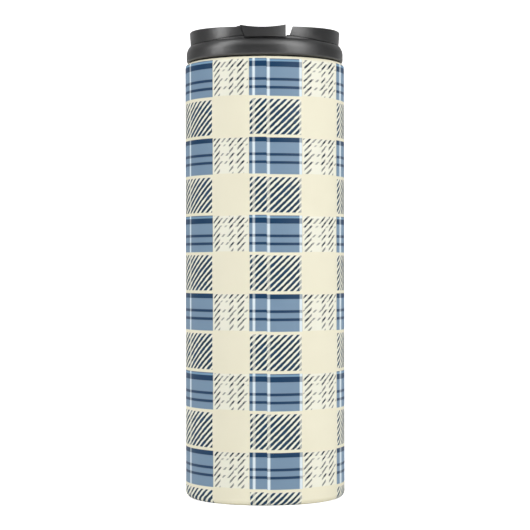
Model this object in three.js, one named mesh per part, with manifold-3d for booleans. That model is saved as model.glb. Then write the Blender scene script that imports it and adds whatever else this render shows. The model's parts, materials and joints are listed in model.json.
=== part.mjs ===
// Vacuum flask: a straight double-walled steel tumbler with a screw-in lid and a flip cover.
// Millimetres, +Z up. The origin is the centre of the foot, and the drinking slot faces -Y.
import * as THREE from 'three';
import { mergeVertices } from 'three/addons/utils/BufferGeometryUtils.js';
import Module from 'manifold-3d';

const wasm = await Module();
wasm.setup();

// ---------------------------------------------------------------- driving dimensions

// Steel body
const BODY_RADIUS = 36.3;
const BODY_HEIGHT = 197.3; // foot to mouth lip
const SHELL_WALL = 0.5;
const VACUUM_GAP = 3.15;
const LINER_WALL = 0.5;
const FOOT_CORNER = 2.8;
const FOOT_WIDTH = 4.2; // flat ring that the flask stands on
const SHOULDER_CORNER = 2.0;
const LIP_CORNER = 0.25;

// Bottom of the body
const BOTTOM_WALL = 0.6;
const PAN_DEPTH = 4.2; // foot to the upper face of the outer bottom
const BASE_SPACE = 4.4; // between the outer bottom and the liner's bottom
const BASE_COVER_RECESS = 0.9;
const LINER_CORNER = 5.0;
const LINER_CUP_HEIGHT = 8.0;
const EVACUATION_HOLE_RADIUS = 1.5;
const EVACUATION_BEAD_RADIUS = 2.8;
const EVACUATION_BEAD_HEIGHT = 1.0;
const GETTER_RADIUS = 4.5;
const GETTER_HEIGHT = 1.4;
const GETTER_OFFSET = 14.0; // from the axis
const GETTER_CLIP_WALL = 0.4;
const FOIL_THICKNESS = 0.3;
const FOIL_END_MARGIN = 6.0;

// Thread between the liner and the plug
const THREAD_LEAD = 6.0; // rise in one turn
const THREAD_RIDGE_RADIUS = 1.0;
const THREAD_RUNNING_GAP = 0.4;
const THREAD_DEPTH = 12.8; // mouth lip to the liner's lowest ridge
const LINER_THREAD_TURNS = 1.25;
const PLUG_THREAD_TURNS = 1.1;
const RIDGE_ROOT = 0.1; // metal left outside a rolled ridge

// Lid
const LID_GAP = 0.5; // between the mouth lip and the collar
const COLLAR_SETBACK = 0.6; // how far the collar's side stands inside the body's
const COLLAR_HEIGHT = 7.8;
const COLLAR_LOWER_CORNER = 1.0;
const COLLAR_SIDE = 3.8; // upright part of the collar's side
const COLLAR_SHOULDER = 5.0; // radius of the arc between the side and the rim's foot
const COLLAR_WEB = 3.5; // solid ring between the gasket's groove and the deck's seat
const RIM_SETBACK = 1.4; // from the collar's side to the rim's top edge
const RIM_TAPER = 0.45;
const RIM_HEIGHT = 6.15;
const RIM_WALL = 2.7;
const RIM_CORNER = 0.7;
const RIM_DIP = 1.28; // the rim is lower at the front
const DECK_THICKNESS = 2.2;
const PLUG_DEPTH = 14.5; // mouth lip to the plug's lower end
const PLUG_WALL = 2.0;
const UNDERPLATE_THICKNESS = 1.6;
const GASKET_WIDTH = 2.4;
const GASKET_HEIGHT = 1.7;
const TUBE_SEAL_HEIGHT = 1.5;

// Drinking slot in the rim, a trapezium wider at the top, and the tab in it
const SLOT_LEFT = 8.8; // at the deck
const SLOT_RIGHT = 10.6;
const SLOT_LEFT_SLOPE = 0.42; // how far a side leans out per unit of height
const SLOT_RIGHT_SLOPE = 0.34;
const SLOT_SILL = 1.2; // step beside the tab, above the deck
const TAB_RIGHT = 9.3;
const TAB_DEPTH = 4.0;
const TAB_STEP = 0.83; // height of the tab's corners above the rim's front
const TAB_HOLLOW = 1.15; // depth of the hollow in the tab's top
const TAB_LEDGE = 1.4; // how far the tab reaches behind the rim beside the slot
const TAB_LEDGE_DEPTH = 4.0;

// Passages through the lid
const DRINK_TUBE_MARGIN = 2.1; // between the drinking tube and the plug's wall
const DRINK_HOLE_HALF_LENGTH = 6.0;
const DRINK_HOLE_HALF_WIDTH = 3.5;
const VENT_SETBACK = 10.0; // from the hinge
const VENT_HOLE_RADIUS = 1.5;
const TUBE_WALL = 1.2;

// Flip cover, its hinge and its seals
const HINGE_Y = 4.0;
const HINGE_PIN_RADIUS = 1.2;
const HINGE_BARREL_RADIUS = 2.4;
const EAR_RADIUS = 2.8;
const EAR_WIDTH = 4.0;
const EAR_CAP = 0.9; // outer end of an ear, which the pin's hole does not reach
const LEVER_HALF_WIDTH = 9.3;
const COVER_THICKNESS = 2.8;
const COVER_SIDE_GAP = 0.5;
const SEAL_SPACE = 2.0; // between the deck and the cover's underside
const PLATFORM_GAP = 0.6; // between the hinge barrel and the fixed rear half
const PLATFORM_WALL = 2.2;
const SEAL_FLANGE_WIDTH = 1.7;
const SEAL_PLUG_LENGTH = 1.4;
const SEAL_PLUG_GAP = 0.5;
const VENT_PLUG_LENGTH = 0.9;

// Gap kept between pieces that touch
const FIT = 0.3;

// Facets
const LARGE_SEGMENTS = 48;
const SMALL_SEGMENTS = 20;
const THREAD_STEPS_PER_TURN = 36;
const THREAD_SIDES = 8;

// ---------------------------------------------------------------- derived sizes

const linerOuter = BODY_RADIUS - SHELL_WALL - VACUUM_GAP;
const linerBore = linerOuter - LINER_WALL;
const footInner = BODY_RADIUS - FOOT_CORNER - FOOT_WIDTH;
const linerFloor = PAN_DEPTH + BASE_SPACE;
const linerCupTop = linerFloor + LINER_CUP_HEIGHT;
const shellLipRadius = BODY_RADIUS - SHOULDER_CORNER;

const linerRidgeCentre = linerOuter - RIDGE_ROOT - THREAD_RIDGE_RADIUS;
const plugRidgeCentre = linerBore - THREAD_RUNNING_GAP - THREAD_RIDGE_RADIUS;
const plugRadius = linerRidgeCentre - THREAD_RIDGE_RADIUS - THREAD_RUNNING_GAP;
const plugInner = plugRadius - PLUG_WALL;
const linerThreadStart = BODY_HEIGHT - THREAD_DEPTH;
const plugThreadStart = linerThreadStart + THREAD_LEAD / 2;

const collarRadius = BODY_RADIUS - COLLAR_SETBACK;
const rimRadius = collarRadius - RIM_SETBACK;
const collarBottom = BODY_HEIGHT + LID_GAP;
const collarTop = collarBottom + COLLAR_HEIGHT;
const collarBore = plugRadius + FIT;
const gasketBottom = BODY_HEIGHT + FIT;
const gasketOuter = collarBore + GASKET_WIDTH;
const grooveTop = gasketBottom + GASKET_HEIGHT + FIT;
const collarSeat = grooveTop + COLLAR_WEB;
const deckTop = collarTop;
const deckBottom = deckTop - DECK_THICKNESS;
const rimFoot = rimRadius - RIM_TAPER;
const rimInner = rimRadius - RIM_WALL;
const rimTop = collarTop + RIM_HEIGHT;
const rimFrontTop = rimTop - RIM_DIP;
const deckRadius = rimFoot - FIT;

const plugBottom = BODY_HEIGHT - PLUG_DEPTH;
const underplateTop = plugBottom + UNDERPLATE_THICKNESS;
const tubeSealTop = underplateTop + FIT + TUBE_SEAL_HEIGHT;
const tubeBottom = tubeSealTop + FIT;
const drinkHoleY = DRINK_HOLE_HALF_WIDTH + TUBE_WALL + DRINK_TUBE_MARGIN - plugInner;
const ventHoleY = HINGE_Y - VENT_SETBACK;

const coverUnderside = deckTop + SEAL_SPACE;
const coverTop = coverUnderside + COVER_THICKNESS;
const coverRadius = rimInner - COVER_SIDE_GAP;
const hingeZ = deckTop + FIT + HINGE_BARREL_RADIUS;
const platformFront = HINGE_Y + HINGE_BARREL_RADIUS + PLATFORM_GAP;
const earInner = LEVER_HALF_WIDTH + FIT;
const earOuter = earInner + EAR_WIDTH;
const pinHoleRadius = HINGE_PIN_RADIUS + FIT;
const pinHoleEnd = earOuter - EAR_CAP;

// ---------------------------------------------------------------- materials

const finish = (color, roughness, metalness) => () => (
  new THREE.MeshStandardMaterial({ color, roughness, metalness })
);
const printedSteel = finish(0xece6cc, 0.35, 0.1);
const bareSteel = finish(0xb9bcbf, 0.3, 1.0);
const foilMetal = finish(0xc98a5e, 0.25, 1.0);
const getterMetal = finish(0x6d6f72, 0.7, 0.6);
const sealGlass = finish(0x8d9194, 0.4, 0.2);
const blackPlastic = finish(0x1b1c1e, 0.45, 0.0);
const coreFoam = finish(0xe9e6dc, 0.9, 0.0);
const greySilicone = finish(0x4a4c50, 0.65, 0.0);

// ---------------------------------------------------------------- modelling helpers

// A closed geometry as a solid, with its faces pointing out.
function solid(geometry) {
  let bare = geometry.clone();
  bare.deleteAttribute('normal');
  bare.deleteAttribute('uv');
  bare = mergeVertices(bare, 1e-4);
  const corners = [];
  const index = bare.index.array;
  for (let i = 0; i < index.length; i += 3) {
    const [a, b, c] = [index[i], index[i + 1], index[i + 2]];
    if (a !== b && b !== c && c !== a) corners.push(a, b, c);
  }
  const build = (triVerts) => new wasm.Manifold(new wasm.Mesh({
    numProp: 3,
    vertProperties: new Float32Array(bare.attributes.position.array),
    triVerts: new Uint32Array(triVerts),
  }));
  const made = build(corners);
  if (made.volume() > 0) return made;
  const turned = [];
  for (let i = 0; i < corners.length; i += 3) turned.push(corners[i], corners[i + 2], corners[i + 1]);
  return build(turned);
}

// Points of an arc in the (radius, height) plane, angles in degrees.
function arc(r, z, radius, from, to, steps = 3) {
  const points = [];
  for (let i = 0; i <= steps; i += 1) {
    const angle = THREE.MathUtils.degToRad(from + ((to - from) * i) / steps);
    points.push([r + radius * Math.cos(angle), z + radius * Math.sin(angle)]);
  }
  return points;
}

// A turned solid: the outline is a list of [radius, height] points round its section.
function turned(outline, segments = LARGE_SEGMENTS) {
  const points = outline.map(([r, z]) => new THREE.Vector2(Math.max(r, 0), z));
  points.push(points[0].clone());
  return solid(new THREE.LatheGeometry(points, segments).rotateX(Math.PI / 2));
}

const ring = (inner, outer, low, high, segments) => (
  turned([[inner, low], [outer, low], [outer, high], [inner, high]], segments)
);
const disc = (radius, low, high, segments) => ring(0, radius, low, high, segments);

// An outline in the XY plane, raised between two heights.
function raised(shape, low, high, curveSegments = 8) {
  const options = { depth: high - low, bevelEnabled: false, curveSegments };
  return solid(new THREE.ExtrudeGeometry(shape, options).translate(0, 0, low));
}

// An outline in the XZ plane, carried from one y to another.
function carried(points, fromY, toY) {
  const shape = new THREE.Shape(points.map(([x, z]) => new THREE.Vector2(x, z)));
  const geometry = new THREE.ExtrudeGeometry(shape, { depth: toY - fromY, bevelEnabled: false });
  return solid(geometry.rotateX(Math.PI / 2).translate(0, toY, 0));
}

function block(low, high) {
  const size = high.map((value, i) => value - low[i]);
  const centre = high.map((value, i) => (value + low[i]) / 2);
  return solid(new THREE.BoxGeometry(...size).translate(...centre));
}

// A rod along X at the hinge's height.
function hingeRod(radius, fromX, toX) {
  const rod = new THREE.CylinderGeometry(radius, radius, toX - fromX, SMALL_SEGMENTS);
  return solid(rod.rotateZ(Math.PI / 2).translate((fromX + toX) / 2, HINGE_Y, hingeZ));
}

// A slot with round ends, its long side along X.
function slotShape(halfLength, halfWidth, y) {
  const straight = halfLength - halfWidth;
  const shape = new THREE.Shape();
  shape.absarc(straight, y, halfWidth, -Math.PI / 2, Math.PI / 2, false);
  shape.absarc(-straight, y, halfWidth, Math.PI / 2, (3 * Math.PI) / 2, false);
  return shape;
}

const drinkSlot = (grow, low, high) => raised(
  slotShape(DRINK_HOLE_HALF_LENGTH + grow, DRINK_HOLE_HALF_WIDTH + grow, drinkHoleY), low, high,
);
const ventRod = (grow, low, high) => (
  disc(VENT_HOLE_RADIUS + grow, low, high, SMALL_SEGMENTS).translate([0, ventHoleY, 0])
);

// A round ridge that climbs one thread lead in each turn, counter-clockwise seen from above.
class Helix extends THREE.Curve {
  constructor(radius, start, turns) {
    super();
    Object.assign(this, { radius, start, turns });
  }

  getPoint(t, target = new THREE.Vector3()) {
    const angle = t * this.turns * 2 * Math.PI;
    const height = this.start + t * this.turns * THREAD_LEAD;
    return target.set(this.radius * Math.cos(angle), this.radius * Math.sin(angle), height);
  }
}

function threadRidge(radius, start, turns) {
  const section = [];
  for (let i = 0; i < THREAD_SIDES; i += 1) {
    const angle = (i / THREAD_SIDES) * 2 * Math.PI;
    section.push(new THREE.Vector2(
      THREAD_RIDGE_RADIUS * Math.cos(angle), THREAD_RIDGE_RADIUS * Math.sin(angle),
    ));
  }
  return solid(new THREE.ExtrudeGeometry(new THREE.Shape(section), {
    extrudePath: new Helix(radius, start, turns),
    steps: Math.round(turns * THREAD_STEPS_PER_TURN),
    bevelEnabled: false,
  }));
}

function piece(name, body, material) {
  const mesh = body.getMesh();
  const geometry = new THREE.BufferGeometry();
  geometry.setAttribute('position', new THREE.BufferAttribute(mesh.vertProperties, 3));
  geometry.setIndex(new THREE.BufferAttribute(mesh.triVerts, 1));
  geometry.computeVertexNormals();
  const made = new THREE.Mesh(geometry, material());
  made.name = name;
  return made;
}

// ---------------------------------------------------------------- steel body

// The wall's foot and shoulder are turned in, and both ends stay open.
function outerShell() {
  const footZ = FOOT_CORNER;
  const footR = BODY_RADIUS - FOOT_CORNER;
  const shoulderZ = BODY_HEIGHT - SHOULDER_CORNER;
  return turned([
    [footInner, 0],
    ...arc(footR, footZ, FOOT_CORNER, -90, 0),
    ...arc(shellLipRadius, shoulderZ, SHOULDER_CORNER, 0, 90),
    ...arc(shellLipRadius, shoulderZ, SHOULDER_CORNER - SHELL_WALL, 90, 0),
    ...arc(footR, footZ, FOOT_CORNER - SHELL_WALL, 0, -90),
    [footInner, SHELL_WALL],
  ]);
}

// The liner's top edge turns out to meet the shell, and its thread is rolled inwards.
function innerLiner() {
  const flange = shellLipRadius - FIT;
  const tube = turned([
    [linerBore, linerCupTop + FIT],
    [linerOuter, linerCupTop + FIT],
    [linerOuter, BODY_HEIGHT - LINER_WALL],
    [flange, BODY_HEIGHT - LINER_WALL],
    [flange, BODY_HEIGHT],
    [linerBore + LIP_CORNER, BODY_HEIGHT],
    [linerBore, BODY_HEIGHT - LIP_CORNER],
  ]);
  return tube.add(threadRidge(linerRidgeCentre, linerThreadStart, LINER_THREAD_TURNS));
}

function linerBottom() {
  const cornerR = linerOuter - LINER_CORNER;
  const cornerZ = linerFloor + LINER_CORNER;
  return turned([
    [0, linerFloor],
    ...arc(cornerR, cornerZ, LINER_CORNER, -90, 0),
    [linerOuter, linerCupTop],
    [linerBore, linerCupTop],
    ...arc(cornerR, cornerZ, LINER_CORNER - LINER_WALL, 0, -90),
    [0, linerFloor + LINER_WALL],
  ]);
}

function outerBottom() {
  const radius = footInner - FIT;
  return turned([
    [EVACUATION_HOLE_RADIUS, PAN_DEPTH - BOTTOM_WALL],
    [radius - BOTTOM_WALL, PAN_DEPTH - BOTTOM_WALL],
    [radius - BOTTOM_WALL, 0],
    [radius, 0],
    [radius, PAN_DEPTH],
    [EVACUATION_HOLE_RADIUS, PAN_DEPTH],
  ]);
}

function baseCover() {
  const radius = footInner - 2 * FIT - BOTTOM_WALL;
  return disc(radius, BASE_COVER_RECESS, BASE_COVER_RECESS + BOTTOM_WALL);
}

function evacuationSeal() {
  const top = PAN_DEPTH - BOTTOM_WALL - FIT;
  const outline = [
    [0, top - EVACUATION_BEAD_HEIGHT],
    [EVACUATION_BEAD_RADIUS / 2, top - EVACUATION_BEAD_HEIGHT],
    [EVACUATION_BEAD_RADIUS, top - EVACUATION_BEAD_HEIGHT / 3],
    [EVACUATION_BEAD_RADIUS, top],
    [0, top],
  ];
  return turned(outline, SMALL_SEGMENTS);
}

// The getter hangs under the liner's bottom in a small cup that opens downwards.
function getterPieces() {
  const clipTop = linerFloor - FIT;
  const pelletTop = clipTop - GETTER_CLIP_WALL - FIT;
  const clipInner = GETTER_RADIUS + FIT;
  const clip = turned([
    [0, clipTop - GETTER_CLIP_WALL],
    [clipInner, clipTop - GETTER_CLIP_WALL],
    [clipInner, pelletTop - GETTER_HEIGHT],
    [clipInner + GETTER_CLIP_WALL, pelletTop - GETTER_HEIGHT],
    [clipInner + GETTER_CLIP_WALL, clipTop],
    [0, clipTop],
  ], SMALL_SEGMENTS);
  const pellet = disc(GETTER_RADIUS, pelletTop - GETTER_HEIGHT, pelletTop, SMALL_SEGMENTS);
  const place = [GETTER_OFFSET, 0, 0];
  return [clip.translate(place), pellet.translate(place)];
}

function radiationFoil() {
  const inner = linerOuter + FIT;
  return ring(inner, inner + FOIL_THICKNESS, linerCupTop, BODY_HEIGHT - FOIL_END_MARGIN);
}

// ---------------------------------------------------------------- lid

// The collar's side is rounded towards the rim, and its underside holds the gasket in a groove.
function lidCollar() {
  const lowerZ = collarBottom + COLLAR_LOWER_CORNER;
  const shoulderR = collarRadius - COLLAR_SHOULDER;
  const shoulderZ = collarBottom + COLLAR_SIDE;
  const shoulderEnd = THREE.MathUtils.radToDeg(Math.acos((rimFoot - shoulderR) / COLLAR_SHOULDER));
  return turned([
    [gasketOuter + FIT, collarBottom],
    ...arc(collarRadius - COLLAR_LOWER_CORNER, lowerZ, COLLAR_LOWER_CORNER, -90, 0),
    ...arc(shoulderR, shoulderZ, COLLAR_SHOULDER, 0, shoulderEnd, 5),
    [rimFoot, collarSeat],
    [collarBore, collarSeat],
    [collarBore, grooveTop],
    [gasketOuter + FIT, grooveTop],
  ]);
}

// The rim's ring, lower at the front than at the sides and back.
function rimRing() {
  const low = collarTop + FIT;
  const outline = [
    [rimInner, deckTop - FIT],
    [deckRadius, deckTop - FIT],
    [deckRadius, low],
    [rimFoot, low],
    ...arc(rimRadius - RIM_CORNER, rimTop - RIM_CORNER, RIM_CORNER, 0, 90, 3),
    ...arc(rimInner + RIM_CORNER, rimTop - RIM_CORNER, RIM_CORNER, 90, 180, 3),
  ];
  return turned(outline).warp((vertex) => {
    const front = Math.max(0, -vertex[1] / Math.hypot(vertex[0], vertex[1]));
    const share = Math.max(0, (vertex[2] - low) / (rimTop - low));
    vertex[2] -= RIM_DIP * front * front * share;
  });
}

const slotLeft = (z) => -SLOT_LEFT - SLOT_LEFT_SLOPE * (z - deckTop);
const slotRight = (z) => SLOT_RIGHT + SLOT_RIGHT_SLOPE * (z - deckTop);

function slotCut() {
  const [sill, top] = [deckTop + SLOT_SILL, rimTop + FIT];
  return carried([
    [slotLeft(deckTop), deckTop],
    [TAB_RIGHT + FIT, deckTop],
    [TAB_RIGHT + FIT, sill],
    [slotRight(sill), sill],
    [slotRight(top), top],
    [slotLeft(top), top],
  ], -BODY_RADIUS, -rimInner + RIM_WALL);
}

// The fixed rear half of the lid's top, hollow from below.
function rearPlatform() {
  const span = rimInner + FIT;
  const rear = block([-span, platformFront, deckTop - FIT], [span, span, coverTop]);
  return rear.intersect(disc(span, deckTop - FIT, coverTop));
}

function rearPocket() {
  const span = plugInner;
  const front = platformFront + PLATFORM_WALL;
  const pocket = block([-span, front, deckBottom - FIT], [span, span, coverTop - PLATFORM_WALL]);
  return pocket.intersect(disc(span, deckBottom - FIT, coverTop));
}

function hingeEar(side) {
  const [fromX, toX] = side > 0 ? [earInner, earOuter] : [-earOuter, -earInner];
  const foot = block([fromX, HINGE_Y - EAR_RADIUS, deckTop - FIT], [toX, HINGE_Y + EAR_RADIUS, hingeZ]);
  const back = block([fromX, HINGE_Y, deckTop - FIT], [toX, platformFront + FIT, coverTop]);
  return hingeRod(EAR_RADIUS, fromX, toX).add(foot).add(back);
}

function lidTop() {
  return disc(deckRadius, deckBottom, deckTop)
    .add(rimRing())
    .subtract(slotCut())
    .add(rearPlatform())
    .add(hingeEar(1))
    .add(hingeEar(-1))
    .add(drinkSlot(TUBE_WALL, tubeBottom, deckTop - FIT))
    .add(ventRod(TUBE_WALL, tubeBottom, deckTop - FIT))
    .subtract(rearPocket())
    .subtract(hingeRod(pinHoleRadius, -pinHoleEnd, pinHoleEnd))
    .subtract(drinkSlot(0, tubeBottom - FIT, deckTop + FIT))
    .subtract(ventRod(0, tubeBottom - FIT, deckTop + FIT));
}

function lidPlug() {
  const tube = ring(plugInner, plugRadius, plugBottom, deckBottom - FIT);
  return tube.add(threadRidge(plugRidgeCentre, plugThreadStart, PLUG_THREAD_TURNS));
}

function lidUnderplate() {
  return disc(plugInner - FIT, plugBottom, underplateTop)
    .subtract(drinkSlot(0, plugBottom - FIT, underplateTop + FIT))
    .subtract(ventRod(0, plugBottom - FIT, underplateTop + FIT));
}

function lidInsulation() {
  const [low, high] = [underplateTop + FIT, deckBottom - FIT];
  return disc(plugInner - FIT, low, high)
    .subtract(drinkSlot(TUBE_WALL + FIT, low - FIT, high + FIT))
    .subtract(ventRod(TUBE_WALL + FIT, low - FIT, high + FIT));
}

const tubeSeal = (hole) => {
  const [low, high] = [underplateTop + FIT, tubeSealTop];
  return hole(TUBE_WALL, low, high).subtract(hole(0, low - FIT, high + FIT));
};

const mainGasket = () => ring(collarBore, gasketOuter, gasketBottom, gasketBottom + GASKET_HEIGHT);

const hingePin = () => hingeRod(HINGE_PIN_RADIUS, FIT - pinHoleEnd, pinHoleEnd - FIT);

// ---------------------------------------------------------------- flip cover

// The tab fills the slot's left side and stops short of its right side. Its top is hollow.
function coverTab() {
  const [low, high] = [deckTop + FIT, rimFrontTop + TAB_STEP];
  const left = (z) => slotLeft(z) + FIT;
  const outline = [[left(low), low], [TAB_RIGHT, low], [TAB_RIGHT, high], [left(high), high]];
  const front = disc(rimRadius + FIT, low - FIT, high + FIT);
  const halfWidth = (TAB_RIGHT - left(high)) / 2;
  const hollowRadius = (halfWidth ** 2 + TAB_HOLLOW ** 2) / (2 * TAB_HOLLOW);
  const hollow = new THREE.CylinderGeometry(hollowRadius, hollowRadius, 2 * BODY_RADIUS, 4 * LARGE_SEGMENTS)
    .translate(TAB_RIGHT - halfWidth, 0, high + hollowRadius - TAB_HOLLOW);
  return carried(outline, -BODY_RADIUS, -rimRadius + TAB_DEPTH)
    .intersect(front)
    .add(tabLedge(left(high) - TAB_LEDGE, low, high))
    .subtract(solid(hollow));
}

// A ledge behind the rim closes the gap at the slot's left side.
function tabLedge(fromX, low, high) {
  const backY = -rimRadius + TAB_DEPTH + TAB_LEDGE_DEPTH;
  const ledge = block([fromX, -coverRadius, low], [-SLOT_LEFT + FIT, backY, high]);
  return ledge.intersect(disc(coverRadius, low, high));
}

// A lever as wide as its hinge barrel, with the tab at its front end.
function flipCover() {
  const lever = block(
    [-LEVER_HALF_WIDTH, -coverRadius, coverUnderside], [LEVER_HALF_WIDTH, HINGE_Y, coverTop],
  );
  return lever.intersect(disc(coverRadius, coverUnderside, coverTop))
    .add(hingeRod(HINGE_BARREL_RADIUS, -LEVER_HALF_WIDTH, LEVER_HALF_WIDTH))
    .add(coverTab())
    .subtract(hingeRod(pinHoleRadius, -earOuter, earOuter));
}

const sealLow = deckTop + FIT;
const sealHigh = coverUnderside - FIT;

const sipSeal = () => drinkSlot(SEAL_FLANGE_WIDTH, sealLow, sealHigh)
  .add(drinkSlot(-SEAL_PLUG_GAP, sealLow - SEAL_PLUG_LENGTH, sealLow + FIT));

const ventSeal = () => ventRod(SEAL_FLANGE_WIDTH, sealLow, sealHigh)
  .add(ventRod(-SEAL_PLUG_GAP, sealLow - VENT_PLUG_LENGTH, sealLow + FIT));

// ---------------------------------------------------------------- assembly

const [getterClip, getterPellet] = getterPieces();

const flask = new THREE.Group();
flask.add(
  piece('outer_shell', outerShell(), printedSteel),
  piece('inner_liner', innerLiner(), bareSteel),
  piece('liner_bottom', linerBottom(), bareSteel),
  piece('outer_bottom', outerBottom(), bareSteel),
  piece('base_cover', baseCover(), bareSteel),
  piece('evacuation_seal', evacuationSeal(), sealGlass),
  piece('getter_clip', getterClip, bareSteel),
  piece('getter_pellet', getterPellet, getterMetal),
  piece('radiation_foil', radiationFoil(), foilMetal),
);

const lid = new THREE.Group();
lid.add(
  piece('lid_collar', lidCollar(), blackPlastic),
  piece('lid_top', lidTop(), blackPlastic),
  piece('lid_plug', lidPlug(), blackPlastic),
  piece('lid_underplate', lidUnderplate(), blackPlastic),
  piece('lid_insulation', lidInsulation(), coreFoam),
  piece('main_gasket', mainGasket(), greySilicone),
  piece('drink_tube_seal', tubeSeal(drinkSlot), greySilicone),
  piece('vent_tube_seal', tubeSeal(ventRod), greySilicone),
  piece('hinge_pin', hingePin(), bareSteel),
);

const cover = new THREE.Group();
cover.add(
  piece('flip_cover', flipCover(), blackPlastic),
  piece('sip_seal', sipSeal(), greySilicone),
  piece('vent_seal', ventSeal(), greySilicone),
);

const group = new THREE.Group();
group.add(flask, lid, cover);

export default group;
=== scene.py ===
import json
import math

import bmesh
import bpy
from mathutils import Matrix, Vector


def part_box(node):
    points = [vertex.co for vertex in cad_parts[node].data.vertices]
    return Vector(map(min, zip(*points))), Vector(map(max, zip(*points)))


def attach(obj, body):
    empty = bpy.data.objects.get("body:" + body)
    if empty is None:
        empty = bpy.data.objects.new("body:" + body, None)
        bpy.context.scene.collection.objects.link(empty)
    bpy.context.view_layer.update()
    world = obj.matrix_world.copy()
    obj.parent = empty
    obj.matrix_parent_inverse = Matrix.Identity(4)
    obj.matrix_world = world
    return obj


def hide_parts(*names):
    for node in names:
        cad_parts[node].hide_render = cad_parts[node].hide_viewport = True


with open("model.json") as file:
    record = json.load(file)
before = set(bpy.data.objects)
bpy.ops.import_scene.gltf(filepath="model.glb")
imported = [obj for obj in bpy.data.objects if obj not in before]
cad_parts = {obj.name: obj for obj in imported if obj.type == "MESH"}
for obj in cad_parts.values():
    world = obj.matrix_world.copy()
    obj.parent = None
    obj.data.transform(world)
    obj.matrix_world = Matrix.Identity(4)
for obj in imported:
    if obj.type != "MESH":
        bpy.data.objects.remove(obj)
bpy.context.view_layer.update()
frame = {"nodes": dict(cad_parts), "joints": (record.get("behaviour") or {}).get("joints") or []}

# A straight double-walled steel flask with a plaid printed coat and a black screw-in lid. The lid's flip
# cover ends in a tab that stands in the rim's slot. Metres, +Z up, and the slot faces -Y.

scene = bpy.context.scene
MM = 0.001
FULL_TURN = 2 * math.pi
QUARTER_TURN = math.pi / 2
ORIGIN = (0, 0, 0)
UPRIGHT = (0, 0, 1)
BODY_STEPS, LID_STEPS = 144, 192  # straight edges round a turned part
ARC_STEP = 0.35 * MM  # about how long the straight edges of a rounding are
THREAD_STEPS, THREAD_SIDES = 72, 16  # round one turn of a thread, and round its ridge
FIT = 0.3 * MM  # gap between two pieces, and how far a cutter reaches past what it cuts
TOUCH = 1e-7  # points closer than this count as level

# Roundings of the edges that aren't a shape of their own.
FINE_EDGE, EDGE, BROAD_EDGE = 0.15 * MM, 0.2 * MM, 0.4 * MM
NEARLY = 0.99  # keeps two roundings on one side from meeting in a point

# ---------------------------------------------------------------- sizes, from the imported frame

shell_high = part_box("outer_shell")[1]
liner_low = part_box("inner_liner")[0]
cup_low, cup_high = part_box("liner_bottom")
pan_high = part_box("outer_bottom")[1]
disc_low, disc_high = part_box("base_cover")
gasket_low, gasket_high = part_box("main_gasket")
collar_low, collar_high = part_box("lid_collar")
top_low, top_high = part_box("lid_top")
plug_low, plug_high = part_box("lid_plug")
plate_low, plate_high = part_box("lid_underplate")
pin_low, pin_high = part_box("hinge_pin")
tab_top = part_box("flip_cover")[1].z
sip_low, sip_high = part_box("sip_seal")
vent_low, vent_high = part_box("vent_seal")
joints = {joint["name"]: joint for joint in frame["joints"]}
hinge = Vector(joints["cover_flip"]["pos_m"])

body_radius, body_top = shell_high.x, shell_high.z
SHELL_WALL = 0.5 * MM
FOOT_CORNER = 2.8 * MM
FOOT_WIDTH = 4.2 * MM
SHOULDER_CORNER = 2.0 * MM
foot_inner = body_radius - FOOT_CORNER - FOOT_WIDTH
lip_radius = body_radius - SHOULDER_CORNER

LINER_CORNER = 5.0 * MM
liner_outer = cup_high.x
liner_bore = liner_outer - SHELL_WALL
BOTTOM_WALL = 0.6 * MM
EVACUATION_HOLE_RADIUS = 1.5 * MM

THREAD_LEAD = 6.0 * MM
THREAD_RIDGE_RADIUS = 1.0 * MM
THREAD_GAP = 0.4 * MM
liner_ridge = liner_outer - 0.1 * MM - THREAD_RIDGE_RADIUS
plug_ridge = liner_bore - THREAD_GAP - THREAD_RIDGE_RADIUS
plug_radius = liner_ridge - THREAD_RIDGE_RADIUS - THREAD_GAP
plug_inner = plug_radius - 2.0 * MM
LINER_THREAD = (liner_ridge, body_top - 12.8 * MM, 1.25)  # radius, lower end and turns
PLUG_THREAD = (plug_ridge, body_top - 9.8 * MM, 1.1)

collar_radius, deck_bottom = collar_high.x, plug_high.z + FIT
deck_top = deck_bottom + 2.2 * MM
COLLAR_SIDE = 3.8 * MM
COLLAR_SHOULDER = 5.0 * MM
collar_bore = plug_radius + FIT
groove_radius = gasket_high.x + FIT
collar_seat = deck_bottom - FIT
groove_top = gasket_high.z + FIT
RIM_WALL, RIM_EDGE = 2.7 * MM, 0.7 * MM
rim_radius, rim_top = collar_radius - 1.4 * MM, top_high.z
rim_foot = rim_radius - 0.45 * MM
rim_inner = rim_radius - RIM_WALL
deck_radius = rim_foot - FIT
RIM_DIP = 1.28 * MM  # how much lower the rim's top is at the front

PARTING_START, PARTING_END = 15.0, 88.0  # degrees from the front
PARTING_STEPS = 60
PARTING_HEIGHT, PARTING_DEPTH = 0.36 * MM, 0.8 * MM
PARTING_DROP, PARTING_CLIMB = 0.5 * MM, 1.75 * MM
PARTING_FOOT = 22.6 * MM  # how far forward of the axis the parting line starts to climb

# The slot's sides and how much they lean outwards with height above the deck.
SLOT_LEFT, SLOT_LEFT_SLOPE = 8.8 * MM, 0.42
SLOT_RIGHT, SLOT_RIGHT_SLOPE = 10.6 * MM, 0.34
SLOT_SILL = 1.2 * MM
TAB_RIGHT = 9.3 * MM
TAB_DEPTH = 4.0 * MM
TAB_HOLLOW = 1.15 * MM
TAB_LEDGE = 1.4 * MM
TAB_LEDGE_DEPTH = 4.0 * MM

DRINK_HOLE_Y = 6.8 * MM - plug_inner
DRINK_HOLE_HALF_LENGTH, DRINK_HOLE_HALF_WIDTH = 6.0 * MM, 3.5 * MM
VENT_HOLE_Y = -6.0 * MM
VENT_HOLE_RADIUS = 1.5 * MM
TUBE_WALL = 1.2 * MM

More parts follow.
